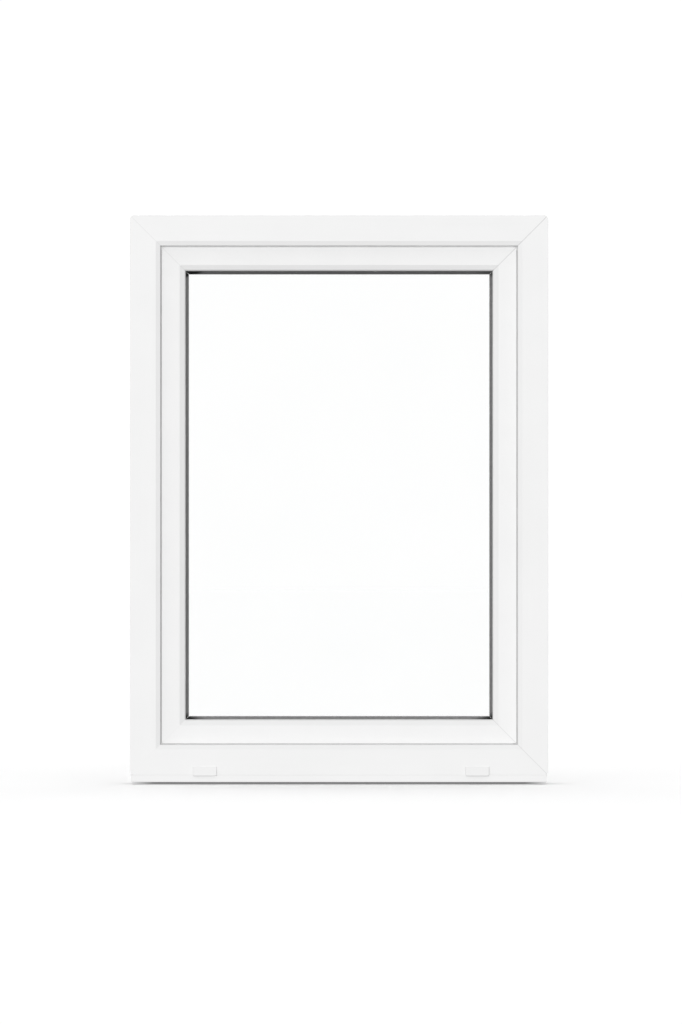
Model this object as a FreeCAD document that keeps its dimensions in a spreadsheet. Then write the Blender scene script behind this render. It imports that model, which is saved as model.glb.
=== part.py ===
"""Tilt and turn window of white PVC-U bars, in millimetres.

The outside faces -Y, the room is at +Y, X runs across and Z runs up from the underside of the base
profile. Every bar is drawn as a section and extruded, then sawn at 45 degrees at both ends, as in
the workshop. In a section the first coordinate is the depth from the outside towards the room, and
the second is the distance inward from the outer edge of the ring of bars.
"""

import FreeCAD, Part
import Sketcher
import os
import re

SIZES = {
    # Fixed frame
    "frame_width": 900,
    "frame_height": 1205,
    "frame_depth": 70,
    "frame_face": 65.3,
    "frame_body": 45,
    "lip_depth": 19,
    "frame_bevel_width": 10,
    "frame_bevel_depth": 2.8,
    "corner_trim": 6,
    "front_chamber": 14,
    "rear_chamber": 14,
    "anchor_inset": 16,
    "anchor_opening": 6,
    "anchor_floor": 9,
    "anchor_depth": 4,
    "fixing_hole": 6.5,
    "fixing_spacing": 700,
    # Walls and edges that all extruded bars share
    "profile_wall": 3,
    "profile_web": 1.6,
    "edge_radius": 0.6,
    "arris_radius": 1.5,
    "weld_width": 1.4,
    "weld_depth": 0.5,
    # Opening sash
    "sash_overlap": 8,
    "hardware_gap": 12,
    "flange_thickness": 11,
    "sash_height": 81.8,
    "sash_bevel_width": 12.8,
    "sash_bevel_depth": 4.8,
    "sash_nose_radius": 5,
    "glazing_rebate": 20,
    "stop_gap": 3,
    "overlap_gap": 3,
    "hardware_axis": 13,
    "hardware_groove": 16,
    "hardware_groove_depth": 3,
    "rod_slot": 10,
    "rod_slot_depth": 7,
    # Gaskets
    "gasket_groove": 3,
    "gasket_groove_depth": 3,
    "gasket_inset": 3.5,
    "gasket_play": 0.1,
    "gasket_back": 2.5,
    "gasket_lip": 0.8,
    "gasket_joint": 0.3,
    "stop_gasket_joint": 0.8,
    "stop_gasket_reveal": 2.6,
    "overlap_gasket_inset": 2.5,
    "outer_glazing_gap": 4,
    "outer_gasket_reveal": 6.6,
    "inner_glazing_gap": 3,
    "inner_gasket_reveal": 2.5,
    # Glass unit
    "pane_thickness": 4,
    "pane_cavity": 16,
    "glass_clearance": 5,
    "edge_seal": 4,
    "spacer_height": 7,
    "spacer_wall": 1,
    "block_length": 100,
    "block_margin": 70,
    "block_play": 1,
    # Glazing beads
    "bead_width": 13,
    "bead_top": 5,
    "bead_toe": 6,
    "bead_clip": 3,
    "bead_clip_inset": 5,
    "bead_clip_depth": 4,
    "bead_play": 0.2,
    # Base profile under the frame
    "base_height": 20,
    "base_recess": 0.4,
    "base_end_inset": 2.5,
    "base_wall": 2,
    "drip_height": 4.9,
    "base_foot": 5,
    "tongue_play": 0.3,
    # Drain caps and the slots behind them
    "cap_width": 52,
    "cap_height": 20,
    "cap_projection": 5,
    "cap_top": 1.4,
    "cap_rim": 2,
    "cap_wall": 1.5,
    "cap_corner": 4,
    "cap_edge": 1.3,
    "cap_drop": 2,
    "left_cap_inset": 161,
    "right_cap_inset": 152.5,
    "drain_slot_width": 30,
    "drain_slot_height": 5,
    "drain_slot_rise": 7,
    # Handle
    "rosette_length": 70,
    "rosette_width": 30,
    "rosette_thickness": 11,
    "rosette_corner": 13,
    "rosette_edge": 2,
    "collar_diameter": 24,
    "collar_height": 3,
    "lever_width": 22,
    "lever_neck": 18,
    "lever_reach": 55,
    "lever_grip": 12,
    "lever_length": 122,
    "lever_elbow": 14,
    "lever_inner_bend": 7,
    "lever_edge": 4,
    # Hinges
    "barrel_diameter": 16,
    "barrel_edge": 1,
    "barrel_gap": 1,
    "bearing_height": 24,
    "bearing_web": 10,
    "bearing_plate_outer": 20,
    "bearing_plate_inner": 7,
    "bearing_plate_height": 44,
    "leaf_height": 50,
    "leaf_overlap": 18,
    "hinge_play": 0.4,
    "hinge_drop": 14,
    "hinge_plate": 2.5,
    "hinge_plate_corner": 4,
    "pin_diameter": 7,
    "pin_play": 0.1,
    "pin_inset": 3,
}

PLACES = {
    # Rings of bars, from the outside to the middle
    "frame_centre": "base_height + frame_height / 2",
    "frame_front": "0 - frame_depth / 2",
    "sash_edge": "frame_body - sash_overlap",
    "sash_width": "frame_width - 2 * sash_edge",
    "sash_tall": "frame_height - 2 * sash_edge",
    "glazing_floor": "sash_height - glazing_rebate",
    "glazing_width": "sash_width - 2 * glazing_floor",
    "glazing_tall": "sash_tall - 2 * glazing_floor",
    "pane_width": "glazing_width - 2 * glass_clearance",
    "pane_tall": "glazing_tall - 2 * glass_clearance",
    "spacer_width": "pane_width - 2 * edge_seal",
    "spacer_tall": "pane_tall - 2 * edge_seal",
    # Depths of the sash, whose outer leg takes up what the glass and the bead leave
    "sash_setback": "lip_depth + stop_gap",
    "sash_front": "frame_front + sash_setback",
    "flange_front": "frame_depth + overlap_gap - sash_setback",
    "sash_depth": "flange_front + flange_thickness",
    "sash_back": "sash_front + sash_depth",
    "unit_thickness": "2 * pane_thickness + pane_cavity",
    "bead_front": "sash_depth - bead_width",
    "unit_front": "bead_front - inner_glazing_gap - unit_thickness",
    "glazing_leg": "unit_front - outer_glazing_gap",
    # Chambers and grooves of the frame
    "outer_anchor": "anchor_inset",
    "room_anchor": "frame_depth - anchor_inset",
    "chamber_low": "anchor_depth + profile_wall",
    "chamber_high": "frame_body - profile_wall",
    "front_web": "profile_wall + front_chamber",
    "rear_web": "frame_depth - profile_wall - rear_chamber",
    "lip_groove_top": "frame_face - gasket_inset",
    "lip_groove_low": "lip_groove_top - gasket_groove",
    "lip_groove_back": "lip_depth - gasket_groove_depth",
    # Grooves of the sash and of the beads
    "flange_reach": "sash_overlap + hardware_gap",
    "flange_groove_top": "overlap_gasket_inset + gasket_groove",
    "groove_axis": "flange_front - hardware_axis",
    "groove_shoulder": "flange_reach + hardware_groove_depth",
    "rod_slot_floor": "groove_shoulder + rod_slot_depth",
    "leg_groove_top": "sash_height - gasket_inset",
    "leg_groove_low": "leg_groove_top - gasket_groove",
    "leg_groove_back": "glazing_leg - gasket_groove_depth",
    "bead_clip_axis": "bead_width - bead_clip_inset",
    "sash_clip": "bead_front + bead_clip_axis",
    "clip_floor": "glazing_floor - bead_clip_depth",
    "bead_groove_top": "glazing_rebate - gasket_inset",
    "bead_groove_low": "bead_groove_top - gasket_groove",
    # Edges of the gaskets that show
    "stop_gasket_edge": "frame_face + stop_gasket_reveal",
    "outer_gasket_edge": "sash_height + outer_gasket_reveal",
    "inner_gasket_edge": "glazing_rebate + inner_gasket_reveal",
    # Front of the foot that the base profile stands on
    "drip_depth": "frame_depth / 2 - base_foot",
    # Drain caps along the sill
    "left_cap_x": "left_cap_inset - frame_width / 2",
    "right_cap_x": "frame_width / 2 - right_cap_inset",
    # Hinge axis on the right and handle axis on the left, seen from outside
    "barrel_radius": "barrel_diameter / 2",
    "hinge_standoff": "hinge_plate + barrel_gap + barrel_radius",
    "hinge_x": "frame_width / 2 - sash_edge + barrel_gap + barrel_radius",
    "hinge_y": "frame_depth / 2 + hinge_standoff",
    "hinge_length": "bearing_height + hinge_play + leaf_height",
    "hinge_bottom": "base_height + sash_edge - hinge_drop",
    "hinge_top": "base_height + frame_height - sash_edge + hinge_drop",
    "leaf_face": "sash_back - hinge_y",
    "leaf_reach": "barrel_radius + barrel_gap + leaf_overlap",
    "handle_x": "glazing_floor / 2 - sash_width / 2",
}

document = FreeCAD.newDocument("tilt_and_turn_window")
sheet = document.addObject("Spreadsheet::Sheet", "Sizes")
for row, (alias, size) in enumerate(SIZES.items(), start=1):
    sheet.set(f"A{row}", alias)
    sheet.set(f"B{row}", str(size))
    sheet.setAlias(f"B{row}", alias)
document.recompute()


def formula(text):
    """The text with every place spelled out and every size read from the sheet."""
    def spelled(match):
        name = match.group()
        if name in PLACES:
            return "(" + formula(PLACES[name]) + ")"
        if name not in SIZES:
            raise KeyError(name)
        return "Sizes." + name
    return re.sub(r"[a-z][a-z_]+", spelled, text)


def value(text):
    """What a formula comes to now."""
    return float(sheet.evalExpression(formula(text)))


def bind(item, **properties):
    """Tie properties of an object to the sheet."""
    for name, text in properties.items():
        item.setExpression(name, formula(text))


def place(item, x="0", y="0", z="0", turn=0):
    """Set an object at a place held by the sheet, turned about the depth axis."""
    item.Placement = FreeCAD.Placement(
        FreeCAD.Vector(value(x), value(y), value(z)),
        FreeCAD.Rotation(FreeCAD.Vector(0, 1, 0), turn))
    for axis, text in zip("xyz", (x, y, z)):
        item.setExpression("Placement.Base." + axis, formula(text))


def new_body(label):
    """An empty body whose label is also its file name."""
    body = document.addObject("PartDesign::Body", label)
    body.Label = label
    return body


def named(constraint, name):
    """A sketch constraint with a name of its own."""
    constraint.Name = name
    return constraint


def draw(body, plane, loops, offset=None):
    """A sketch on a plane of the body. Loops are corners, or one centre and a diameter."""
    sketch = body.newObject("Sketcher::SketchObject", "outline")
    support = next(item for item in body.Origin.OriginFeatures if item.Role == plane)
    sketch.AttachmentSupport = [(support, "")]
    sketch.MapMode = "FlatFace"
    if offset:
        sketch.setExpression("AttachmentOffset.Base.z", formula(offset))
    lines = []
    rules = []
    held = {}

    def hold(kind, ends, text):
        name = f"size{len(held)}"
        rules.append(named(Sketcher.Constraint(kind, *ends, value(text)), name))
        held[name] = text

    for loop in loops:
        first = len(lines)
        if len(loop) == 1:
            x, y, diameter = loop[0]
            centre = FreeCAD.Vector(value(x), value(y), 0)
            lines.append(Part.Circle(centre, FreeCAD.Vector(0, 0, 1), value(diameter) / 2))
            hold("DistanceX", (-1, 1, first, 3), x)
            hold("DistanceY", (-1, 1, first, 3), y)
            hold("Diameter", (first,), diameter)
            continue
        corners = [FreeCAD.Vector(value(x), value(y), 0) for x, y in loop]
        for number, (x, y) in enumerate(loop):
            after = (number + 1) % len(loop)
            lines.append(Part.LineSegment(corners[number], corners[after]))
            rules.append(Sketcher.Constraint("Coincident", first + number, 2, first + after, 1))
            hold("DistanceX", (-1, 1, first + number, 1), x)
            hold("DistanceY", (-1, 1, first + number, 1), y)
    sketch.addGeometry(lines, False)
    sketch.addConstraint(rules)
    for name, text in held.items():
        sketch.setExpression("Constraints." + name, formula(text))
    return sketch


def pad(body, sketch, length, side="One side", reverse=False):
    """Material added along the normal of a sketch."""
    feature = body.newObject("PartDesign::Pad", "extrusion")
    feature.Profile = sketch
    feature.SideType = side
    feature.Reversed = reverse
    bind(feature, Length=length)
    document.recompute()
    return feature


def pocket(body, sketch, length=None, side="One side", reverse=False):
    """Material taken away along the normal of a sketch, through everything without a length."""
    before = body.Shape.Volume
    feature = body.newObject("PartDesign::Pocket", "cut")
    feature.Profile = sketch
    feature.SideType = side
    feature.Reversed = reverse
    if length:
        bind(feature, Length=length)
    else:
        feature.Type = "ThroughAll"
    document.recompute()
    if not body.Shape.Volume < before:
        raise ValueError(body.Label + " has a cut that takes nothing away")
    return feature


def round_edges(body, radius, chosen):
    """A fillet on the edges of the body that a test picks."""
    names = [f"Edge{n}" for n, edge in enumerate(body.Shape.Edges, start=1) if chosen(edge)]
    if not names:
        raise ValueError(body.Label + " has no edge to round")
    base = body.Tip
    feature = body.newObject("PartDesign::Fillet", "rounding")
    feature.Base = (base, names)
    bind(feature, Radius=radius)
    document.recompute()
    if "Invalid" in feature.State:
        raise ValueError(body.Label + " has an edge that can't be rounded: " + feature.getStatusString())
    return feature


def chamfer_edges(body, size, chosen):
    """A flat bevel on the edges of the body that a test picks."""
    names = [f"Edge{n}" for n, edge in enumerate(body.Shape.Edges, start=1) if chosen(edge)]
    if not names:
        raise ValueError(body.Label + " has no edge to bevel")
    base = body.Tip
    feature = body.newObject("PartDesign::Chamfer", "bevel")
    feature.Base = (base, names)
    bind(feature, Size=size)
    document.recompute()
    if "Invalid" in feature.State:
        raise ValueError(body.Label + " has an edge that can't be bevelled: " + feature.getStatusString())
    return feature


def along(axis, places):
    """A test for straight edges that run along an axis through one of the given places."""
    others = [number for number in range(3) if number != axis]
    targets = [[value(text) for text in pair] for pair in places]

    def chosen(edge):
        ends = [vertex.Point for vertex in edge.Vertexes]
        if len(ends) < 2 or not isinstance(edge.Curve, Part.Line):
            return False
        return any(
            all(abs(end[other] - at) < 0.01 for end in ends for other, at in zip(others, target))
            for target in targets)
    return chosen


def box(low, high):
    """The four corners of a rectangle."""
    return [(low[0], low[1]), (high[0], low[1]), (high[0], high[1]), (low[0], high[1])]


def mirrored(loop):
    """The loop on the other side of the second axis."""
    return [("0 - (" + x + ")", y) for x, y in loop]


def bar(label, section, length, tall, rounded=(), trim=None, joint="0", faces=()):
    """An extruded bar along X, mitred at both ends, with half a shallow groove along each welded mitre."""
    body = new_body(label)
    pad(body, draw(body, "YZ_Plane", section), length, "Symmetric")
    for radius, edges in rounded:
        round_edges(body, radius, along(0, edges))
    end = f"0 - {length} / 2 + {joint}"
    wedge = [(f"{end} - 3 * {tall}", f"0 - {tall}")]
    if trim:
        wedge.append((f"{end} + {tall} + {trim}", f"0 - {tall}"))
        wedge.append((f"{end} + {trim} / 2", f"{trim} / 2"))
    else:
        wedge.append((f"{end} - {tall}", f"0 - {tall}"))
    wedge.append((f"{end} + 2 * {tall}", f"2 * {tall}"))
    wedge.append((f"{end} - 3 * {tall}", f"2 * {tall}"))
    pocket(body, draw(body, "XZ_Plane", [wedge, mirrored(wedge)]), side="Symmetric")
    for depth, reverse in faces:
        seam = [
            (f"{end} - {tall}", f"0 - {tall}"),
            (f"{end} - {tall} + weld_width", f"0 - {tall}"),
            (f"{end} + 2 * {tall} + weld_width", f"2 * {tall}"),
            (f"{end} + 2 * {tall}", f"2 * {tall}"),
        ]
        sketch = draw(body, "XZ_Plane", [seam, mirrored(seam)], "0 - " + depth)
        pocket(body, sketch, "weld_depth", reverse=reverse)
    return body


def ring(section, labels, wide, tall, depth, height, **options):
    """Four bars round a rectangle: bottom, top, left and right, each with its inward side turned in."""
    sides = (
        (wide, "0", f"frame_centre - {tall} / 2", 0),
        (wide, "0", f"frame_centre + {tall} / 2", 180),
        (tall, f"0 - {wide} / 2", "frame_centre", 90),
        (tall, f"{wide} / 2", "frame_centre", -90),
    )
    bars = []
    for label, (length, x, z, turn) in zip(labels, sides):
        made = bar(label, section, length, height, **options)
        place(made, x, depth, z, turn)
        bars.append(made)
    return bars


def gathered(label, pieces):
    """Several separate pieces of one kind as a single sub-part."""
    made = document.addObject("Part::Compound", label)
    made.Label = label
    made.Links = pieces
    document.recompute()
    return made


def laid_ring(label, section, wide, tall, depth, height, joint="gasket_joint"):
    """A strip laid in four lengths, with a fine joint at each corner."""
    labels = [f"{label}_{side}" for side in ("bottom", "top", "left", "right")]
    strips = ring(section, labels, wide, tall, depth, height, joint=joint)
    return gathered(label, strips)


def block(label, x, y, z, length, width, height):
    """A plain box with its lowest corner at a place held by the sheet."""
    made = document.addObject("Part::Box", label)
    made.Label = label
    bind(made, Length=length, Width=width, Height=height)
    place(made, x, y, z)
    return made


FRAME_SECTION = [
    [
        ("0", "0"),
        ("0", "frame_face - frame_bevel_width"),
        ("frame_bevel_depth", "frame_face"),
        ("lip_depth", "frame_face"),
        ("lip_depth", "lip_groove_top"),
        ("lip_groove_back", "lip_groove_top"),
        ("lip_groove_back", "lip_groove_low"),
        ("lip_depth", "lip_groove_low"),
        ("lip_depth", "frame_body"),
        ("frame_depth", "frame_body"),
        ("frame_depth", "0"),
        ("room_anchor + anchor_opening / 2", "0"),
        ("room_anchor + anchor_floor / 2", "anchor_depth"),
        ("room_anchor - anchor_floor / 2", "anchor_depth"),
        ("room_anchor - anchor_opening / 2", "0"),
        ("outer_anchor + anchor_opening / 2", "0"),
        ("outer_anchor + anchor_floor / 2", "anchor_depth"),
        ("outer_anchor - anchor_floor / 2", "anchor_depth"),
        ("outer_anchor - anchor_opening / 2", "0"),
    ],
    box(("profile_wall", "frame_body"),
        ("lip_groove_back - profile_web", "frame_face - frame_bevel_width")),
    box(("profile_wall", "chamber_low"), ("front_web", "chamber_high")),
    box(("front_web + profile_web", "chamber_low"), ("rear_web - profile_web", "chamber_high")),
    box(("rear_web", "chamber_low"), ("frame_depth - profile_wall", "chamber_high")),
]

FRAME_ROUNDINGS = [
    ("edge_radius", [("0", "0")]),
    ("arris_radius", [("0", "frame_face - frame_bevel_width"), ("frame_bevel_depth", "frame_face"),
                      ("frame_depth", "frame_body")]),
]

SASH_SECTION = [
    [
        ("0", "flange_reach"),
        ("0", "sash_height - sash_bevel_width"),
        ("sash_bevel_depth", "sash_height"),
        ("glazing_leg", "sash_height"),
        ("glazing_leg", "leg_groove_top"),
        ("leg_groove_back", "leg_groove_top"),
        ("leg_groove_back", "leg_groove_low"),
        ("glazing_leg", "leg_groove_low"),
        ("glazing_leg", "glazing_floor"),
        ("sash_clip - bead_clip / 2", "glazing_floor"),
        ("sash_clip - bead_clip / 2", "clip_floor"),
        ("sash_clip + bead_clip / 2", "clip_floor"),
        ("sash_clip + bead_clip / 2", "glazing_floor"),
        ("sash_depth", "glazing_floor"),
        ("sash_depth", "0"),
        ("flange_front", "0"),
        ("flange_front", "overlap_gasket_inset"),
        ("flange_front + gasket_groove_depth", "overlap_gasket_inset"),
        ("flange_front + gasket_groove_depth", "flange_groove_top"),
        ("flange_front", "flange_groove_top"),
        ("flange_front", "flange_reach"),
        ("groove_axis + hardware_groove / 2", "flange_reach"),
        ("groove_axis + hardware_groove / 2", "groove_shoulder"),
        ("groove_axis + rod_slot / 2", "groove_shoulder"),
        ("groove_axis + rod_slot / 2", "rod_slot_floor"),
        ("groove_axis - rod_slot / 2", "rod_slot_floor"),
        ("groove_axis - rod_slot / 2", "groove_shoulder"),
        ("groove_axis - hardware_groove / 2", "groove_shoulder"),
        ("groove_axis - hardware_groove / 2", "flange_reach"),
    ],
    box(("profile_wall", "flange_reach + profile_wall"),
        ("leg_groove_back - profile_web", "sash_height - sash_bevel_width")),
    box(("leg_groove_back", "rod_slot_floor + profile_web"),
        ("groove_axis + hardware_groove / 2", "glazing_floor - profile_wall")),
    box(("groove_axis + hardware_groove / 2 + profile_web", "flange_reach + profile_wall"),
        ("sash_depth - profile_wall", "clip_floor - profile_wall")),
]

SASH_ROUNDINGS = [
    ("arris_radius", [("0", "flange_reach"), ("0", "sash_height - sash_bevel_width"),
                      ("sash_depth", "0")]),
    ("sash_nose_radius", [("sash_bevel_depth", "sash_height")]),
]

BEAD_SECTION = [[
    ("0", "0"),
    ("0", "bead_groove_low"),
    ("gasket_groove_depth", "bead_groove_low"),
    ("gasket_groove_depth", "bead_groove_top"),
    ("0", "bead_groove_top"),
    ("0", "glazing_rebate"),
    ("bead_top", "glazing_rebate"),
    ("bead_width", "bead_toe"),
    ("bead_width", "0"),
    ("bead_clip_axis + bead_clip / 2 - bead_play", "0"),
    ("bead_clip_axis + bead_clip / 2 - bead_play", "bead_play - bead_clip_depth"),
    ("bead_clip_axis - bead_clip / 2 + bead_play", "bead_play - bead_clip_depth"),
    ("bead_clip_axis - bead_clip / 2 + bead_play", "0"),
]]

BEAD_ROUNDINGS = [("arris_radius", [("bead_top", "glazing_rebate"), ("bead_width", "bead_toe")])]

STOP_GASKET_SECTION = [[
    ("lip_depth", "lip_groove_low - gasket_back"),
    ("lip_depth", "lip_groove_low + gasket_play"),
    ("lip_groove_back + gasket_play", "lip_groove_low + gasket_play"),
    ("lip_groove_back + gasket_play", "lip_groove_top - gasket_play"),
    ("lip_depth", "lip_groove_top - gasket_play"),
    ("lip_depth", "frame_face"),
    ("sash_setback - gasket_lip", "stop_gasket_edge"),
    ("sash_setback", "stop_gasket_edge"),
    ("sash_setback", "lip_groove_low - gasket_back"),
]]

OVERLAP_GASKET_SECTION = [[
    ("flange_front", "overlap_gasket_inset - gasket_lip"),
    ("flange_front", "overlap_gasket_inset + gasket_play"),
    ("flange_front + gasket_groove_depth - gasket_play", "overlap_gasket_inset + gasket_play"),
    ("flange_front + gasket_groove_depth - gasket_play", "flange_groove_top - gasket_play"),
    ("flange_front", "flange_groove_top - gasket_play"),
    ("flange_front", "flange_groove_top + gasket_lip"),
    ("flange_front - overlap_gap", "flange_groove_top"),
    ("flange_front - overlap_gap", "overlap_gasket_inset"),
]]

OUTER_GASKET_SECTION = [[
    ("glazing_leg", "leg_groove_low - gasket_back"),
    ("glazing_leg", "leg_groove_low + gasket_play"),
    ("leg_groove_back + gasket_play", "leg_groove_low + gasket_play"),
    ("leg_groove_back + gasket_play", "leg_groove_top - gasket_play"),
    ("glazing_leg", "leg_groove_top - gasket_play"),
    ("glazing_leg", "sash_height"),
    ("unit_front - gasket_lip", "outer_gasket_edge"),
    ("unit_front", "outer_gasket_edge"),
    ("unit_front", "leg_groove_low - gasket_back"),
]]

INNER_GASKET_SECTION = [[
    ("0", "bead_groove_low - gasket_back"),
    ("0", "bead_groove_low + gasket_play"),
    ("gasket_groove_depth - gasket_play", "bead_groove_low + gasket_play"),
    ("gasket_groove_depth - gasket_play", "bead_groove_top - gasket_play"),
    ("0", "bead_groove_top - gasket_play"),
    ("0", "glazing_rebate"),
    ("gasket_lip - inner_glazing_gap", "inner_gasket_edge"),
    ("0 - inner_glazing_gap", "inner_gasket_edge"),
    ("0 - inner_glazing_gap", "bead_groove_low - gasket_back"),
]]

SEAL_SECTION = [box(("0", "0"), ("pane_cavity", "edge_seal"))]

SPACER_SECTION = [
    box(("0", "0"), ("pane_cavity", "spacer_height")),
    box(("spacer_wall", "spacer_wall"), ("pane_cavity - spacer_wall", "spacer_height - spacer_wall")),
]


def fixed_frame():
    """The four welded frame bars, with fixing holes in the jambs and drain slots in the sill."""
    labels = ("frame_sill", "frame_head", "frame_left_jamb", "frame_right_jamb")
    sill, head, left, right = ring(
        FRAME_SECTION, labels, "frame_width", "frame_height", "frame_front", "frame_face",
        rounded=FRAME_ROUNDINGS, trim="corner_trim", faces=(("0", False), ("frame_depth", True)))
    for jamb in (left, right):
        holes = [[(f"0 {side} fixing_spacing / 2", "frame_depth / 2", "fixing_hole")] for side in "-+"]
        pocket(jamb, draw(jamb, "XY_Plane", holes), reverse=True)
    slots = []
    for axis in ("left_cap_x", "right_cap_x"):
        slots.append(box((f"{axis} - drain_slot_width / 2", "drain_slot_rise"),
                         (f"{axis} + drain_slot_width / 2", "drain_slot_rise + drain_slot_height")))
    pocket(sill, draw(sill, "XZ_Plane", slots), "profile_wall * 2")
    gasket = laid_ring("frame_stop_gasket", STOP_GASKET_SECTION, "frame_width", "frame_height",
                       "frame_front", "stop_gasket_edge", "stop_gasket_joint")
    return [sill, head, left, right, gasket]


def base_profile():
    """The hollow profile clipped under the frame, with a drip edge and two dovetail tongues."""
    body = new_body("base_profile")
    outline = [
        ("drip_depth", "0"),
        ("drip_depth", "drip_height"),
        ("base_recess", "drip_height"),
        ("base_recess", "base_height"),
    ]
    for centre in ("outer_anchor", "room_anchor"):
        outline += [
            (f"{centre} - anchor_opening / 2 + tongue_play", "base_height"),
            (f"{centre} - anchor_floor / 2 + tongue_play", "base_height + anchor_depth - tongue_play"),
            (f"{centre} + anchor_floor / 2 - tongue_play", "base_height + anchor_depth - tongue_play"),
            (f"{centre} + anchor_opening / 2 - tongue_play", "base_height"),
        ]
    outline += [
        ("frame_depth - base_recess", "base_height"),
        ("frame_depth - base_recess", "0"),
    ]
    front = [
        ("drip_depth + base_wall", "base_wall"),
        ("frame_depth / 2 - base_wall / 2", "base_wall"),
        ("frame_depth / 2 - base_wall / 2", "base_height - base_wall"),
        ("base_recess + base_wall", "base_height - base_wall"),
        ("base_recess + base_wall", "drip_height + base_wall"),
        ("drip_depth + base_wall", "drip_height + base_wall"),
    ]
    rear = box(("frame_depth / 2 + base_wall / 2", "base_wall"),
               ("frame_depth - base_recess - base_wall", "base_height - base_wall"))
    pad(body, draw(body, "YZ_Plane", [outline, front, rear]), "frame_width - 2 * base_end_inset", "Symmetric")
    mitre = box(("frame_width / 2 - anchor_depth", "base_height"),
                ("frame_width / 2", "base_height + anchor_depth"))
    pocket(body, draw(body, "XZ_Plane", [mitre, mirrored(mitre)]))
    round_edges(body, "arris_radius", along(0, [("base_recess", "drip_height")]))
    place(body, "0", "frame_front", "0")
    return body


def drain_cap(label, axis):
    """A hood over a drain slot and the joint below it, thin at the top and open at the bottom."""
    body = new_body(label)
    hood = [
        ("0", "0"),
        ("0", "cap_height"),
        ("0 - cap_top", "cap_height"),
        ("0 - cap_projection", "0"),
    ]
    hollow = [
        ("0", "0 - cap_wall"),
        ("0", "cap_height - cap_rim"),
        ("cap_wall - cap_projection", "0"),
        ("cap_wall - cap_projection", "0 - cap_wall"),
    ]
    pad(body, draw(body, "YZ_Plane", [hood]), "cap_width", "Symmetric")
    foot = along(1, [("0 - cap_width / 2", "0"), ("cap_width / 2", "0")])
    round_edges(body, "cap_corner", foot)
    top = value("cap_height")

    def front_outline(edge):
        ends = [vertex.Point for vertex in edge.Vertexes]
        at_wall = any(abs(end.y) < 0.01 for end in ends)
        at_top = all(abs(end.z - top) < 0.01 for end in ends)
        return not at_wall and not at_top

    chamfer_edges(body, "cap_edge", front_outline)
    pocket(body, draw(body, "YZ_Plane", [hollow]), "cap_width - 2 * cap_corner - 2 * cap_wall", "Symmetric")
    place(body, axis, "frame_front", "base_height - cap_drop")
    return body


def opening_sash():
    """The four welded sash bars, their overlap gasket and the gaskets and beads that hold the glass."""
    labels = ("sash_bottom_rail", "sash_top_rail", "sash_left_stile", "sash_right_stile")
    pieces = ring(SASH_SECTION, labels, "sash_width", "sash_tall", "sash_front", "sash_height",
                  rounded=SASH_ROUNDINGS, faces=(("0", False), ("sash_depth", True)))
    pieces.append(laid_ring("sash_overlap_gasket", OVERLAP_GASKET_SECTION,
                            "sash_width", "sash_tall", "sash_front", "sash_height"))
    pieces.append(laid_ring("outer_glazing_gasket", OUTER_GASKET_SECTION,
                            "sash_width", "sash_tall", "sash_front", "outer_gasket_edge"))
    pieces.append(laid_ring("inner_glazing_gasket", INNER_GASKET_SECTION, "glazing_width",
                            "glazing_tall", "sash_front + bead_front", "inner_gasket_edge"))
    labels = ("bottom_glazing_bead", "top_glazing_bead", "left_glazing_bead", "right_glazing_bead")
    pieces += ring(BEAD_SECTION, labels, "glazing_width", "glazing_tall", "sash_front + bead_front",
                   "inner_gasket_edge", rounded=BEAD_ROUNDINGS)
    return pieces


def glass_unit():
    """Two panes, the spacer and seal between them, and the blocks the unit stands on."""
    left = "0 - pane_width / 2"
    bottom = "frame_centre - pane_tall / 2"
    front = "sash_front + unit_front"
    cavity = front + " + pane_thickness"
    size = ("pane_width", "pane_thickness", "pane_tall")
    pieces = [
        block("outer_pane", left, front, bottom, *size),
        block("inner_pane", left, cavity + " + pane_cavity", bottom, *size),
        laid_ring("glass_edge_seal", SEAL_SECTION, "pane_width", "pane_tall", cavity, "edge_seal"),
        laid_ring("glass_spacer", SPACER_SECTION, "spacer_width", "spacer_tall", cavity, "spacer_height"),
    ]
    depth = "sash_front + glazing_leg + block_play"
    width = "bead_front - glazing_leg - 2 * block_play"
    blocks = []
    for side in "-+":
        across = f"0 {side} (pane_width / 2 - block_margin) - block_length / 2"
        up = f"frame_centre {side} (pane_tall / 2 - block_margin) - block_length / 2"
        for name, z in (("low", f"{bottom} - glass_clearance"), ("high", "frame_centre + pane_tall / 2")):
            blocks.append(block(f"block_{name}", across, depth, z, "block_length", width, "glass_clearance"))
        for name, x in (("left", f"{left} - glass_clearance"), ("right", "pane_width / 2")):
            blocks.append(block(f"block_{name}", x, depth, up, "glass_clearance", width, "block_length"))
    pieces.append(gathered("setting_blocks", blocks))
    return pieces


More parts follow.
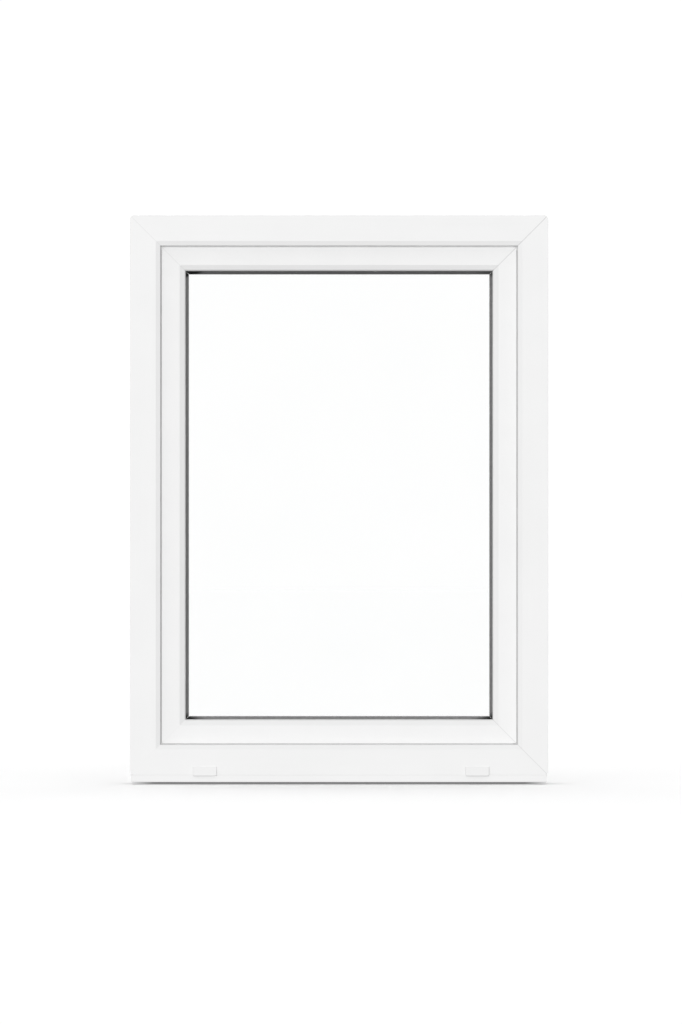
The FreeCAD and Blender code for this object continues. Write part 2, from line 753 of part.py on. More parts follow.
def handle():
    """The rosette on the left stile, and the lever that points down when the sash is shut."""
    rosette = new_body("handle_rosette")
    plate = box(("0 - rosette_width / 2", "0 - rosette_length / 2"),
                ("rosette_width / 2", "rosette_length / 2"))
    pad(rosette, draw(rosette, "XZ_Plane", [plate]), "rosette_thickness", reverse=True)
    round_edges(rosette, "rosette_corner", along(1, plate))
    top = value("rosette_thickness")
    chamfer_edges(rosette, "rosette_edge",
                  lambda edge: all(abs(vertex.Y - top) < 0.01 for vertex in edge.Vertexes))
    collar = draw(rosette, "XZ_Plane", [[("0", "0", "collar_diameter")]], "0 - rosette_thickness")
    pad(rosette, collar, "collar_height", reverse=True)
    lever = new_body("handle_lever")
    start = "rosette_thickness + collar_height"
    elbow = ("lever_reach", "lever_neck / 2")
    bend = ("lever_reach - lever_grip", "0 - lever_neck / 2")
    side_view = [
        (start, "lever_neck / 2"),
        elbow,
        ("lever_reach", "0 - lever_length"),
        ("lever_reach - lever_grip", "0 - lever_length"),
        bend,
        (start, "0 - lever_neck / 2"),
    ]
    pad(lever, draw(lever, "YZ_Plane", [side_view]), "lever_width", "Symmetric")
    round_edges(lever, "lever_elbow", along(0, [elbow]))
    round_edges(lever, "lever_inner_bend", along(0, [bend]))
    half = value("lever_width") / 2
    seat = value(start)

    def outline(edge):
        ends = edge.Vertexes
        on_side = all(abs(abs(vertex.X) - half) < 0.01 for vertex in ends)
        across = ends[0].X * ends[-1].X < 0
        at_seat = all(abs(vertex.Y - seat) < 0.01 for vertex in ends)
        return on_side and not across and not at_seat

    round_edges(lever, "lever_edge", outline)
    for piece in (rosette, lever):
        place(piece, "handle_x", "sash_back", "frame_centre")
    return [rosette, lever]


def barrel_with_plate(label, height, free_end, plate, plate_back, web=None):
    """A hinge barrel about the Z axis, joined to a flat plate with rounded corners and bored for the pin."""
    body = new_body(label)
    pad(body, draw(body, "XY_Plane", [[("0", "0", "barrel_diameter")]]), height)
    tip = value(free_end)
    chamfer_edges(body, "barrel_edge", lambda edge: abs(edge.CenterOfMass.z - tip) < 0.01)
    if web:
        pad(body, draw(body, "XY_Plane", [web]), height)
    pad(body, draw(body, "XZ_Plane", [plate], "0 - (" + plate_back + ")"), "hinge_plate", reverse=True)
    free = [corner for corner in plate if corner[0] != "0"]
    round_edges(body, "hinge_plate_corner", along(1, free))
    pocket(body, draw(body, "XY_Plane", [[("0", "0", "pin_diameter + pin_play")]]), side="Symmetric")
    return body


def hinge(end, bearing_z, leaf_z, pin_z, free_ends):
    """A bearing on the frame, a leaf on the sash and the pin through both."""
    bearing_end, leaf_end = free_ends
    wall = "0 - hinge_standoff"
    web = box(("0 - bearing_web / 2", wall), ("bearing_web / 2", "0"))
    overhang = "(bearing_plate_height - bearing_height) / 2"
    plate = box(("0 - bearing_plate_inner", "0 - " + overhang),
                ("bearing_plate_outer", "bearing_height + " + overhang))
    bearing = barrel_with_plate(end + "_hinge_bearing", "bearing_height", bearing_end, plate, wall, web)
    plate = box(("0 - leaf_reach", "0"), ("0", "leaf_height"))
    leaf = barrel_with_plate(end + "_hinge_leaf", "leaf_height", leaf_end, plate, "leaf_face")
    pin = document.addObject("Part::Cylinder", end + "_hinge_pin")
    pin.Label = end + "_hinge_pin"
    bind(pin, Radius="pin_diameter / 2", Height="hinge_length - 2 * pin_inset")
    for piece, z in ((bearing, bearing_z), (leaf, leaf_z), (pin, pin_z)):
        place(piece, "hinge_x", "hinge_y", z)
    return [bearing, leaf, pin]


nodes = fixed_frame()
nodes.append(base_profile())
nodes.append(drain_cap("left_drain_cap", "left_cap_x"))
nodes.append(drain_cap("right_drain_cap", "right_cap_x"))
nodes += opening_sash()
nodes += glass_unit()
nodes += handle()
nodes += hinge("lower", "hinge_bottom", "hinge_bottom + bearing_height + hinge_play",
               "hinge_bottom + pin_inset", ("0", "leaf_height"))
nodes += hinge("upper", "hinge_top - bearing_height", "hinge_top - hinge_length",
               "hinge_top - hinge_length + pin_inset", ("bearing_height", "0"))
document.recompute()

for item in document.Objects:
    if "Invalid" in item.State or "Error" in item.State:
        raise RuntimeError(f"{item.Label} did not compute: {item.State}")
for node in nodes:
    if node.Shape.isNull() or not node.Shape.isValid():
        raise RuntimeError(f"{node.Label} has no valid shape")

os.makedirs("parts", exist_ok=True)
for node in nodes:
    node.Shape.exportStep(f"parts/{node.Label}.step")
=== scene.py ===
"""Studio picture of a white tilt and turn window, with a finish for each of its parts."""

import math

import bpy
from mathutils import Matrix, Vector


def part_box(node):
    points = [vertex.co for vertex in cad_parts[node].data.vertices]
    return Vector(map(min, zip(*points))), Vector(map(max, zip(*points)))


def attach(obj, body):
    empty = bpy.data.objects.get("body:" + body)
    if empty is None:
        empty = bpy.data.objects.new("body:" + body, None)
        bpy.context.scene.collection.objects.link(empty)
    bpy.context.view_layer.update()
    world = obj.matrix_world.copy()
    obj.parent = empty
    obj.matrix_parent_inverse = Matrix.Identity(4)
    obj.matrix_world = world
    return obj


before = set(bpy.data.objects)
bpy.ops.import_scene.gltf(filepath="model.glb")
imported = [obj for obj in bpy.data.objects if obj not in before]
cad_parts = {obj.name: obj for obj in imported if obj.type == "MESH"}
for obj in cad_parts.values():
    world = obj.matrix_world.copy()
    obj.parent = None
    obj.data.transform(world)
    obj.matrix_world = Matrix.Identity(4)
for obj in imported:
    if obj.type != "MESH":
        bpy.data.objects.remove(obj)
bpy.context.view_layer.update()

# Where the photograph was taken from, in metres, and what its height takes in at the frame's face
CAMERA_DISTANCE = 12.0
CAMERA_ACROSS = 0.0041
CAMERA_HEIGHT = 0.5864
SEEN_HEIGHT = 2.2039
SENSOR = 36.0

# Light of the studio: how white the room looks, how much it lights from each side, and the lamps,
# each with its direction from the window and its spread in degrees
BACKDROP = 1.027
ROOM_LIGHT = 0.5
ROOM_SLOPE = (-0.3, 0.0, 0.38)
KEY_LAMP = {"towards": (-0.068, -1.0, 0.05), "strength": 1.76, "spread": 4}
REAR_LAMP = {"towards": (0.25, 0.75, 0.6), "strength": 2.2, "spread": 60}
FLOOR_LAMP = {"towards": (0.2, 0, 1), "strength": 1.45, "spread": 120}
LAMP_DISTANCE = 12.0
FLOOR_SIZE = 60
FLOOR_TONE = 0.95

# The ring of frame bars: where its middle is and how far it reaches from there
FRAME_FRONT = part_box("frame_head")[0][1]
FRAME_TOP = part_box("frame_head")[1][2]
FRAME_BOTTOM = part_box("frame_sill")[0][2]
HALF_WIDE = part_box("frame_right_jamb")[1][0]
HALF_TALL = (FRAME_TOP - FRAME_BOTTOM) / 2
MIDDLE = (0.0, 0.0, (FRAME_TOP + FRAME_BOTTOM) / 2)

# Painted shade along the welded mitres, darkest at the upper right, and on the rounded lower edge of
# the top sash rail
WELD_HALF_WIDTH = 0.0014
WELD_SHADE = 0.12
WELD_LEAN = (0.67 / HALF_WIDE, 0.0, 0.33 / HALF_TALL)
NOSE_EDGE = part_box("sash_top_rail")[0][2] - MIDDLE[2]
NOSE_WIDTH = 0.0045
NOSE_SHADE = 0.3

# Seals that show: how far inside their boxes they come into sight, the painted shade on each run,
# and over what length the corners take painted shade, steeper upwards than across, least at the upper
# right
RUN_WIDTH = 0.004
GLAZING_SEAL = {"node": "outer_glazing_gasket", "hidden": 0.0135, "corner": 0.03,
                "lower": 0.0, "sides": 0.21, "upper": 0.52, "right": 0.18}
STOP_SEAL = {"node": "frame_stop_gasket", "hidden": 0.0125, "corner": None,
             "lower": 0.24, "sides": 0.24, "upper": 0.0, "right": 0.38}
CORNER_STEEPNESS = 3.0
CORNER_LEAN = (1 / HALF_WIDE, 0.0, 1 / HALF_TALL)
CORNER_LEAN_START = 0.5
CORNER_LEAN_END = 1.0
CORNER_UPPER_RIGHT = 0.25

# Painted shade in the drip recess of the base profile
DRIP_HEIGHT = 0.0052
DRIP_END = 0.05
DRIP_SHADE = 0.7

# Countersunk screws of the hinges, in millimetres, how far in from the edges of their plates they
# sit, and how much further each is turned than the one before
MILLIMETRE = 0.001
SCREW_RADIUS = 3.5
SCREW_HEIGHT = 1.4
SCREW_SIDES = 40
SCREW_DOME = 0.7
DOME_STEPS = 4
DOME_PROFILE = 0.6
SMOOTH_ANGLE = 35
SCREW_SUNK = 0.3
SLOT_LENGTH = 4.2
SLOT_WIDTH = 0.9
SLOT_DEPTH = 0.8
PLATE_THICKNESS = 2.5
SCREW_INSET = 8.5
SCREW_END_INSET = 9
SCREW_TURN = 0.7

# Finishes: tones, how far they and the roughness vary, and the scales of their noise
RAMP_START = 0.3
RAMP_END = 0.7
PVC_TONE = 0.80
PVC_SPREAD = 0.008
PVC_ROUGHNESS = (0.42, 0.52)
PVC_SPECULAR = 0.3
PVC_CLOUDS = 9.0
DIE_LINES_ACROSS = 900.0
DIE_LINES_ALONG = 4.0
COAT_SPREAD = 0.01
COAT_ROUGHNESS_SPREAD = 0.05
COAT_CLOUDS = 14.0
RUBBER_BLOOM = 160.0
RUBBER_SPECULAR = 0.25
GLASS_TINT = ((0.990, 0.993, 0.992), (0.994, 0.996, 0.995))
GLASS_WAVES = 5.0
GLASS_IOR = 1.5
METAL_DARKER = 0.06
METAL_LIGHTER = 0.04
METAL_ROUGHNESS_SPREAD = 0.08
METAL_MARKS = 420.0


def new_material(name):
    """A node material with its shader, and a helper that adds nodes."""
    material = bpy.data.materials.new(name)
    material.use_nodes = True
    nodes = material.node_tree.nodes
    shader = nodes["Principled BSDF"]

    def add(kind, **settings):
        node = nodes.new(kind)
        for key, setting in settings.items():
            if key in node.inputs:
                node.inputs[key].default_value = setting
            else:
                setattr(node, key, setting)
        return node

    return material, shader, add, material.node_tree.links


def grey(tone):
    """A colour without a tint."""
    return (tone, tone, tone)


def ramp(add, low, high):
    """A colour ramp between two colours."""
    node = add("ShaderNodeValToRGB")
    node.color_ramp.elements[0].position = RAMP_START
    node.color_ramp.elements[0].color = (*low, 1)
    node.color_ramp.elements[1].position = RAMP_END
    node.color_ramp.elements[1].color = (*high, 1)
    return node


def stretched(add, links, source, low, high, to_low=0.0, to_high=1.0):
    """A value stretched from one range to another."""
    node = add("ShaderNodeMapRange")
    node.inputs["From Min"].default_value = low
    node.inputs["From Max"].default_value = high
    node.inputs["To Min"].default_value = to_low
    node.inputs["To Max"].default_value = to_high
    links.new(source, node.inputs["Value"])
    return node.outputs["Result"]


def along_vector(add, links, place, vector):
    """How far a place lies along a vector."""
    node = add("ShaderNodeVectorMath", operation="DOT_PRODUCT")
    node.inputs[1].default_value = vector
    links.new(place, node.inputs[0])
    return node.outputs["Value"]


def times(add, links, first, second):
    """The product of two values."""
    node = add("ShaderNodeMath", operation="MULTIPLY")
    links.new(first, node.inputs[0])
    links.new(second, node.inputs[1])
    return node.outputs["Value"]


def plus(add, links, first, second):
    """The sum of two values."""
    node = add("ShaderNodeMath", operation="ADD")
    links.new(first, node.inputs[0])
    links.new(second, node.inputs[1])
    return node.outputs["Value"]


def below(add, links, source, limit):
    """One where a value is below a limit, and nothing elsewhere."""
    node = add("ShaderNodeMath", operation="LESS_THAN")
    node.inputs[1].default_value = limit
    links.new(source, node.inputs[0])
    return node.outputs["Value"]


def from_middle(add, links, place):
    """A place seen from the middle of the frame, and the same place folded into one quarter."""
    centred = add("ShaderNodeVectorMath", operation="SUBTRACT")
    centred.inputs[1].default_value = MIDDLE
    folded = add("ShaderNodeVectorMath", operation="ABSOLUTE")
    links.new(place, centred.inputs[0])
    links.new(centred.outputs["Vector"], folded.inputs[0])
    return centred.outputs["Vector"], folded.outputs["Vector"]


def darkened(add, links, colour, amount):
    """A colour with a share of its light taken away."""
    kept = add("ShaderNodeMath", operation="SUBTRACT", use_clamp=True)
    kept.inputs[0].default_value = 1.0
    scaled = add("ShaderNodeVectorMath", operation="SCALE")
    links.new(amount, kept.inputs[1])
    links.new(colour, scaled.inputs[0])
    links.new(kept.outputs["Value"], scaled.inputs["Scale"])
    return scaled.outputs["Vector"]


def painted_weld_shade(add, links, place):
    """How much painted shade the bars take along their mitres, most at the upper right."""
    centred, folded = from_middle(add, links, place)
    diagonal = along_vector(add, links, folded, (1, 0, -1))
    offset = add("ShaderNodeMath", operation="ADD")
    offset.inputs[1].default_value = HALF_TALL - HALF_WIDE
    distance = add("ShaderNodeMath", operation="ABSOLUTE")
    links.new(diagonal, offset.inputs[0])
    links.new(offset.outputs["Value"], distance.inputs[0])
    line = stretched(add, links, distance.outputs["Value"],
                     WELD_HALF_WIDTH / 2, WELD_HALF_WIDTH, 1, 0)
    lean = along_vector(add, links, centred, WELD_LEAN)
    strength = stretched(add, links, lean, -1, 1, 0, 2 * WELD_SHADE)
    return times(add, links, line, strength)


def rail_painted_shade(add, links, place):
    """Painted shade on the level bars along their mitres and on the rounded edge next to the upper
    glazing seal.
    """
    height = along_vector(add, links, from_middle(add, links, place)[0], (0, 0, 1))
    edge = stretched(add, links, height, NOSE_EDGE, NOSE_EDGE + NOSE_WIDTH, NOSE_SHADE, 0)
    upper = stretched(add, links, height, 0, RUN_WIDTH)
    return plus(add, links, painted_weld_shade(add, links, place), times(add, links, edge, upper))


def painted_run_shade(node, hidden, corner, lower, sides, upper, right):
    """Painted shade on a ring of seal, set for each run, and in its corners where a length is given.
    """
    far_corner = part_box(node)[1]
    wide = far_corner[0] - hidden
    tall = far_corner[2] - MIDDLE[2] - hidden

    def painted_shade(add, links, place):
        centred, folded = from_middle(add, links, place)
        across = along_vector(add, links, centred, (1, 0, 0))
        height = along_vector(add, links, centred, (0, 0, 1))
        amount = stretched(add, links, height, RUN_WIDTH - tall, 2 * RUN_WIDTH - tall, lower, sides)
        top = stretched(add, links, height, tall - 2 * RUN_WIDTH, tall - RUN_WIDTH,
                        0, upper - sides)
        end = stretched(add, links, across, wide - 2 * RUN_WIDTH, wide - RUN_WIDTH,
                        0, right - sides)
        amount = plus(add, links, plus(add, links, amount, top), end)
        if corner:
            reach = along_vector(add, links, folded, (1, 0, CORNER_STEEPNESS))
            tip = wide + CORNER_STEEPNESS * tall
            shade = stretched(add, links, reach, tip - corner, tip)
            lean = along_vector(add, links, centred, CORNER_LEAN)
            strength = stretched(add, links, lean, CORNER_LEAN_START, CORNER_LEAN_END,
                                 1, CORNER_UPPER_RIGHT)
            amount = plus(add, links, amount, times(add, links, shade, strength))
        return amount

    return painted_shade


def painted_drip_shade(add, links, place):
    """Painted shade in the drip recess, less at its open ends."""
    parts = add("ShaderNodeSeparateXYZ")
    across = add("ShaderNodeMath", operation="ABSOLUTE")
    links.new(place, parts.inputs["Vector"])
    links.new(parts.outputs["X"], across.inputs[0])
    low = below(add, links, parts.outputs["Z"], DRIP_HEIGHT)
    front = below(add, links, parts.outputs["Y"], 0.0)
    inside = stretched(add, links, across.outputs["Value"],
                       HALF_WIDE - DRIP_END, HALF_WIDE, DRIP_SHADE, 0)
    return times(add, links, times(add, links, low, front), inside)


def extruded_plastic(name, along, painted_shade):
    """White plastic with the faint die lines of an extruded bar, darkened by the painted shade it is
    given.
    """
    material, shader, add, links = new_material(name)
    place = add("ShaderNodeTexCoord").outputs["Object"]
    scale = [DIE_LINES_ACROSS] * 3
    scale["xyz".index(along)] = DIE_LINES_ALONG
    stretch = add("ShaderNodeMapping", Scale=scale)
    lines = add("ShaderNodeTexNoise", Scale=1.0, Detail=2.0)
    cloud = add("ShaderNodeTexNoise", Scale=PVC_CLOUDS, Detail=3.0)
    tint = ramp(add, grey(PVC_TONE - PVC_SPREAD), grey(PVC_TONE + PVC_SPREAD))
    bump = add("ShaderNodeBump", Strength=0.03, Distance=0.0002)
    links.new(place, stretch.inputs["Vector"])
    links.new(stretch.outputs["Vector"], lines.inputs["Vector"])
    links.new(place, cloud.inputs["Vector"])
    links.new(cloud.outputs["Fac"], tint.inputs["Fac"])
    links.new(lines.outputs["Fac"], bump.inputs["Height"])
    colour = darkened(add, links, tint.outputs["Color"], painted_shade(add, links, place))
    gloss = stretched(add, links, lines.outputs["Fac"], 0, 1, *PVC_ROUGHNESS)
    links.new(colour, shader.inputs["Base Color"])
    links.new(gloss, shader.inputs["Roughness"])
    links.new(bump.outputs["Normal"], shader.inputs["Normal"])
    shader.inputs["Specular IOR Level"].default_value = PVC_SPECULAR
    return material


def moulded_coat(name, tone, grain, depth, roughness):
    """White moulded plastic or powder coat with a fine even grain."""
    material, shader, add, links = new_material(name)
    place = add("ShaderNodeTexCoord").outputs["Object"]
    skin = add("ShaderNodeTexNoise", Scale=grain, Detail=3.0)
    cloud = add("ShaderNodeTexNoise", Scale=COAT_CLOUDS, Detail=2.0)
    tint = ramp(add, grey(tone - COAT_SPREAD), grey(tone + COAT_SPREAD))
    bump = add("ShaderNodeBump", Strength=depth, Distance=0.0003)
    gloss = stretched(add, links, skin.outputs["Fac"], 0, 1,
                      roughness - COAT_ROUGHNESS_SPREAD, roughness + COAT_ROUGHNESS_SPREAD)
    links.new(place, skin.inputs["Vector"])
    links.new(place, cloud.inputs["Vector"])
    links.new(cloud.outputs["Fac"], tint.inputs["Fac"])
    links.new(skin.outputs["Fac"], bump.inputs["Height"])
    links.new(tint.outputs["Color"], shader.inputs["Base Color"])
    links.new(gloss, shader.inputs["Roughness"])
    links.new(bump.outputs["Normal"], shader.inputs["Normal"])
    return material


def seal_rubber(name, low, high, roughness, painted_shade=None):
    """Matt seal rubber with a dusty bloom, darkened by painted shade where some is given."""
    material, shader, add, links = new_material(name)
    place = add("ShaderNodeTexCoord").outputs["Object"]
    bloom = add("ShaderNodeTexNoise", Scale=RUBBER_BLOOM, Detail=4.0)
    tint = ramp(add, low, high)
    bump = add("ShaderNodeBump", Strength=0.12, Distance=0.0003)
    links.new(place, bloom.inputs["Vector"])
    links.new(bloom.outputs["Fac"], tint.inputs["Fac"])
    links.new(bloom.outputs["Fac"], bump.inputs["Height"])
    links.new(bump.outputs["Normal"], shader.inputs["Normal"])
    colour = tint.outputs["Color"]
    if painted_shade:
        colour = darkened(add, links, colour, painted_shade(add, links, place))
    links.new(colour, shader.inputs["Base Color"])
    shader.inputs["Roughness"].default_value = roughness
    shader.inputs["Specular IOR Level"].default_value = RUBBER_SPECULAR
    return material


def clear_glass(name):
    """Clear glass with the faint waves and tint of the float line."""
    material, shader, add, links = new_material(name)
    place = add("ShaderNodeTexCoord").outputs["Object"]
    wave = add("ShaderNodeTexNoise", Scale=GLASS_WAVES, Detail=1.0)
    tint = ramp(add, *GLASS_TINT)
    bump = add("ShaderNodeBump", Strength=0.02, Distance=0.001)
    links.new(place, wave.inputs["Vector"])
    links.new(wave.outputs["Fac"], tint.inputs["Fac"])
    links.new(wave.outputs["Fac"], bump.inputs["Height"])
    links.new(tint.outputs["Color"], shader.inputs["Base Color"])
    links.new(bump.outputs["Normal"], shader.inputs["Normal"])
    shader.inputs["Roughness"].default_value = 0.0
    shader.inputs["IOR"].default_value = GLASS_IOR
    shader.inputs["Transmission Weight"].default_value = 1.0
    return material


def drawn_metal(name, tone, roughness):
    """Bare metal with fine drawing marks."""
    material, shader, add, links = new_material(name)
    place = add("ShaderNodeTexCoord").outputs["Object"]
    marks = add("ShaderNodeTexNoise", Scale=METAL_MARKS, Detail=3.0)
    tint = ramp(add, grey(tone - METAL_DARKER), grey(tone + METAL_LIGHTER))
    gloss = stretched(add, links, marks.outputs["Fac"], 0, 1,
                      roughness - METAL_ROUGHNESS_SPREAD, roughness + METAL_ROUGHNESS_SPREAD)
    links.new(place, marks.inputs["Vector"])
    links.new(marks.outputs["Fac"], tint.inputs["Fac"])
    links.new(tint.outputs["Color"], shader.inputs["Base Color"])
    links.new(gloss, shader.inputs["Roughness"])
    shader.inputs["Metallic"].default_value = 1.0
    return material


# The bars, the base profile and the two seals that show carry painted shade in their colour.
across_bar = extruded_plastic("white_pvc_across", "x", rail_painted_shade)
upright_bar = extruded_plastic("white_pvc_upright", "z", painted_weld_shade)
base_bar = extruded_plastic("white_pvc_base", "x", painted_drip_shade)
moulding = moulded_coat("white_moulding", tone=0.76, grain=900.0, depth=0.05, roughness=0.4)
powder_coat = moulded_coat("white_powder_coat", tone=0.8, grain=1300.0, depth=0.12, roughness=0.35)
grey_seal = seal_rubber("light_grey_seal", grey(0.74), grey(0.80), 0.6, painted_run_shade(**STOP_SEAL))
black_seal = seal_rubber("black_seal", grey(0.17), grey(0.22), 0.5, painted_run_shade(**GLAZING_SEAL))
overlap_seal = seal_rubber("plain_grey_seal", grey(0.56), grey(0.62), 0.6)
bead_seal = seal_rubber("plain_black_seal", grey(0.12), grey(0.16), 0.5)
edge_sealant = seal_rubber("black_sealant", grey(0.01), grey(0.02), 0.5)
packing = seal_rubber("packing_plastic", (0.10, 0.16, 0.3), (0.12, 0.19, 0.36), 0.5)
glass = clear_glass("float_glass")
spacer_metal = drawn_metal("spacer_aluminium", tone=0.72, roughness=0.35)
pin_steel = drawn_metal("plated_steel", tone=0.6, roughness=0.3)

FINISHES = {
    "frame_sill": across_bar,
    "frame_head": across_bar,
    "frame_left_jamb": upright_bar,
    "frame_right_jamb": upright_bar,
    "frame_stop_gasket": grey_seal,
    "base_profile": base_bar,
    "left_drain_cap": moulding,
    "right_drain_cap": moulding,
    "sash_bottom_rail": across_bar,
    "sash_top_rail": across_bar,
    "sash_left_stile": upright_bar,
    "sash_right_stile": upright_bar,
    "sash_overlap_gasket": overlap_seal,
    "outer_glazing_gasket": black_seal,
    "inner_glazing_gasket": bead_seal,
    "bottom_glazing_bead": across_bar,
    "top_glazing_bead": across_bar,
    "left_glazing_bead": upright_bar,
    "right_glazing_bead": upright_bar,
    "outer_pane": glass,
    "inner_pane": glass,
    "glass_edge_seal": edge_sealant,
    "glass_spacer": spacer_metal,
    "setting_blocks": packing,
    "handle_rosette": powder_coat,
    "handle_lever": powder_coat,
    "lower_hinge_bearing": powder_coat,
    "lower_hinge_leaf": powder_coat,
    "lower_hinge_pin": pin_steel,
    "upper_hinge_bearing": powder_coat,
    "upper_hinge_leaf": powder_coat,
    "upper_hinge_pin": pin_steel,
}
for node, finish in FINISHES.items():
    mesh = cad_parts[node].data
    mesh.materials.clear()
    mesh.materials.append(finish)


def choose(item):
    """Select one object alone and make it active."""
    bpy.ops.object.select_all(action="DESELECT")
    item.select_set(True)
    bpy.context.view_layer.objects.active = item


def cut_slot(head, turn):
    """Cut one bar of the cross recess into a screw head."""
    bpy.ops.object.select_all(action="DESELECT")
    bpy.ops.mesh.primitive_cube_add(size=1, location=(0, 0, SCREW_HEIGHT), rotation=(0, 0, turn))
    bar = bpy.context.active_object
    bar.scale = (SLOT_LENGTH, SLOT_WIDTH, 2 * SLOT_DEPTH)
    bpy.ops.object.transform_apply(location=True, rotation=True, scale=True)
    choose(head)
    slot = head.modifiers.new("slot", "BOOLEAN")
    slot.operation = "DIFFERENCE"
    slot.solver = "EXACT"
    slot.object = bar
    bpy.ops.object.modifier_apply(modifier="slot")
    bpy.data.objects.remove(bar)


def screw_head():
    """A countersunk head with a domed rim and a cross recess, facing the room."""
    bpy.ops.object.select_all(action="DESELECT")
    bpy.ops.mesh.primitive_cylinder_add(vertices=SCREW_SIDES, radius=SCREW_RADIUS, depth=SCREW_HEIGHT,
                                        location=(0, 0, SCREW_HEIGHT / 2))
    head = bpy.context.active_object
    bpy.ops.object.transform_apply(location=True, rotation=True, scale=True)
    bpy.ops.object.mode_set(mode="EDIT")
    bpy.ops.mesh.select_all(action="DESELECT")
    bpy.ops.object.mode_set(mode="OBJECT")
    for vertex in head.data.vertices:
        vertex.select = vertex.co.z > SCREW_HEIGHT / 2
    bpy.ops.object.mode_set(mode="EDIT")
    bpy.ops.mesh.bevel(offset=SCREW_DOME, segments=DOME_STEPS, profile=DOME_PROFILE, affect="EDGES")
    bpy.ops.object.mode_set(mode="OBJECT")
    for turn in (0, math.pi / 2):
        cut_slot(head, turn)
    head.rotation_euler = (-math.pi / 2, 0, 0)
    head.scale = (MILLIMETRE, MILLIMETRE, MILLIMETRE)
    bpy.ops.object.transform_apply(location=True, rotation=True, scale=True)
    bpy.ops.object.shade_smooth_by_angle(angle=math.radians(SMOOTH_ANGLE))
    head.data.materials.append(pin_steel)
    return head


def hinge_screws():
    """Two screws in each plate of the hinges, turned as they came to rest."""
    pattern = screw_head()
    sash_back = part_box("sash_right_stile")[1][1]
    frame_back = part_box("frame_right_jamb")[1][1]
    inset = SCREW_INSET * MILLIMETRE
    end_inset = SCREW_END_INSET * MILLIMETRE
    seat = (PLATE_THICKNESS - SCREW_SUNK) * MILLIMETRE
    turn = 0.0
    for end in ("lower", "upper"):
        for part, wall in (("bearing", frame_back), ("leaf", sash_back)):
            low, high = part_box(f"{end}_hinge_{part}")
            across = high[0] - inset if part == "bearing" else low[0] + inset
            for spot, up in (("bottom", low[2] + end_inset), ("top", high[2] - end_inset)):
                turn += SCREW_TURN
                choose(pattern)
                bpy.ops.object.duplicate(linked=False)
                screw = bpy.context.active_object
                screw.name = f"{end}_hinge_{part}_{spot}_screw"
                screw.location = (across, wall + seat, up)
                screw.rotation_euler = (0, turn, 0)
                bpy.ops.object.transform_apply(location=True, rotation=True, scale=True)
                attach(screw, "root")
    bpy.data.objects.remove(pattern)


def white_room():
    """A world that is white to look at, and lights less, least from below and from the right."""
    world = bpy.data.worlds.new("white_room")
    world.use_nodes = True
    nodes = world.node_tree.nodes
    links = world.node_tree.links
    light = nodes["Background"]
    light.inputs["Color"].default_value = (1, 1, 1, 1)
    way = nodes.new("ShaderNodeTexCoord")
    slope = nodes.new("ShaderNodeVectorMath")
    slope.operation = "DOT_PRODUCT"
    slope.inputs[1].default_value = ROOM_SLOPE
    level = nodes.new("ShaderNodeMath")
    level.operation = "MULTIPLY_ADD"
    level.inputs[1].default_value = ROOM_LIGHT
    level.inputs[2].default_value = ROOM_LIGHT
    links.new(way.outputs["Generated"], slope.inputs[0])
    links.new(slope.outputs["Value"], level.inputs[0])
    links.new(level.outputs["Value"], light.inputs["Strength"])
    backdrop = nodes.new("ShaderNodeBackground")
    backdrop.inputs["Color"].default_value = (1, 1, 1, 1)
    backdrop.inputs["Strength"].default_value = BACKDROP
    ray = nodes.new("ShaderNodeLightPath")
    seen = nodes.new("ShaderNodeMath")
    seen.operation = "MAXIMUM"
    choice = nodes.new("ShaderNodeMixShader")
    links.new(ray.outputs["Is Camera Ray"], seen.inputs[0])
    links.new(ray.outputs["Is Transmission Ray"], seen.inputs[1])
    links.new(seen.outputs["Value"], choice.inputs["Fac"])
    links.new(light.outputs["Background"], choice.inputs[1])
    links.new(backdrop.outputs["Background"], choice.inputs[2])
    links.new(choice.outputs["Shader"], nodes["World Output"].inputs["Surface"])
    bpy.context.scene.world = world


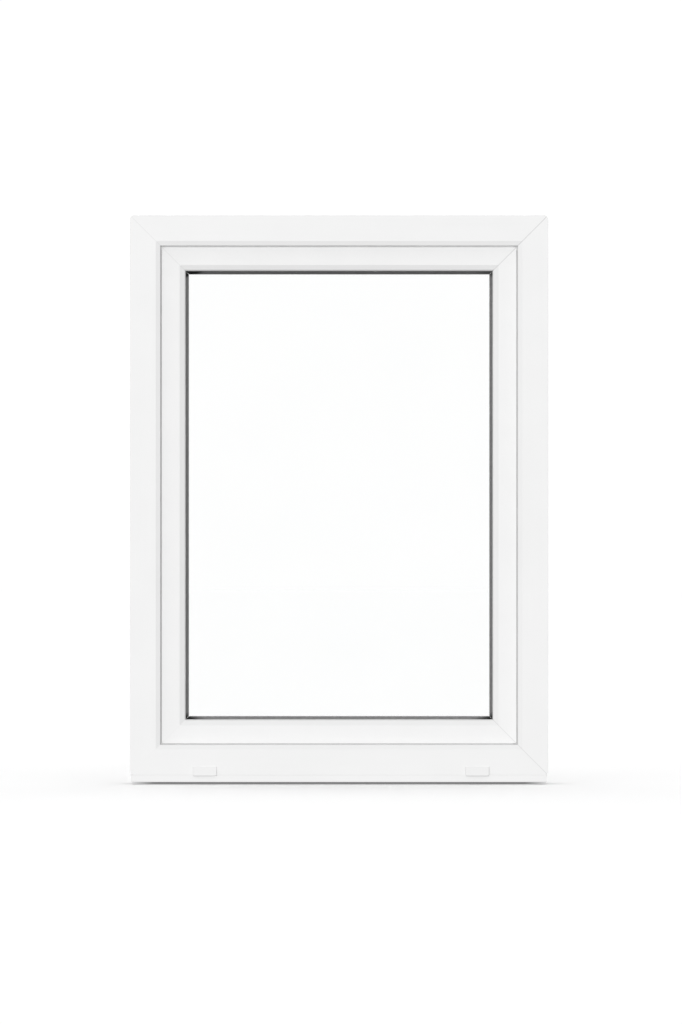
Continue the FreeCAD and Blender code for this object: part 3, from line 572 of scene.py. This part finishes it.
def plain_floor():
    """The pale floor, which has a lamp of its own."""
    bpy.ops.object.select_all(action="DESELECT")
    bpy.ops.mesh.primitive_plane_add(size=FLOOR_SIZE)
    floor = bpy.context.active_object
    floor.name = "floor"
    paint = bpy.data.materials.new("pale_floor")
    paint.use_nodes = True
    shader = paint.node_tree.nodes["Principled BSDF"]
    shader.inputs["Base Color"].default_value = (*grey(FLOOR_TONE), 1)
    shader.inputs["Roughness"].default_value = 1.0
    shader.inputs["Specular IOR Level"].default_value = 0.0
    floor.data.materials.append(paint)
    floor.visible_diffuse = False
    floor.visible_glossy = False
    return floor


def soft_lamp(name, towards, strength, spread):
    """A far lamp with soft edges, in the direction given from the window."""
    lamp = bpy.data.lights.new(name, "SUN")
    lamp.energy = strength
    lamp.angle = math.radians(spread)
    holder = bpy.data.objects.new(name, lamp)
    holder.location = Vector(towards) * LAMP_DISTANCE
    holder.rotation_euler = (-Vector(towards)).to_track_quat("-Z", "Y").to_euler()
    bpy.context.scene.collection.objects.link(holder)
    return holder


def light_floor(lamp, floor, state):
    """Let a lamp light the floor alone, or all but the floor."""
    chosen = bpy.data.collections.new(lamp.name + "_receivers")
    chosen.objects.link(floor)
    chosen.collection_objects[0].light_linking.link_state = state
    lamp.light_linking.receiver_collection = chosen


def studio():
    """A white room with a lamp before the window, one behind it, and a wide one for the floor."""
    bpy.context.scene.view_settings.view_transform = "Standard"
    white_room()
    floor = plain_floor()
    light_floor(soft_lamp("floor_lamp", **FLOOR_LAMP), floor, "INCLUDE")
    light_floor(soft_lamp("key_lamp", **KEY_LAMP), floor, "EXCLUDE")
    light_floor(soft_lamp("rear_lamp", **REAR_LAMP), floor, "EXCLUDE")


def photographer():
    """The camera, level and square to the outside of the window."""
    lens = bpy.data.cameras.new("camera")
    lens.sensor_width = SENSOR
    lens.lens = SENSOR * CAMERA_DISTANCE / SEEN_HEIGHT
    camera = bpy.data.objects.new("camera", lens)
    camera.location = (CAMERA_ACROSS, FRAME_FRONT - CAMERA_DISTANCE, CAMERA_HEIGHT)
    camera.rotation_euler = (math.pi / 2, 0, 0)
    bpy.context.scene.collection.objects.link(camera)
    bpy.context.scene.camera = camera


hinge_screws()
studio()
photographer()
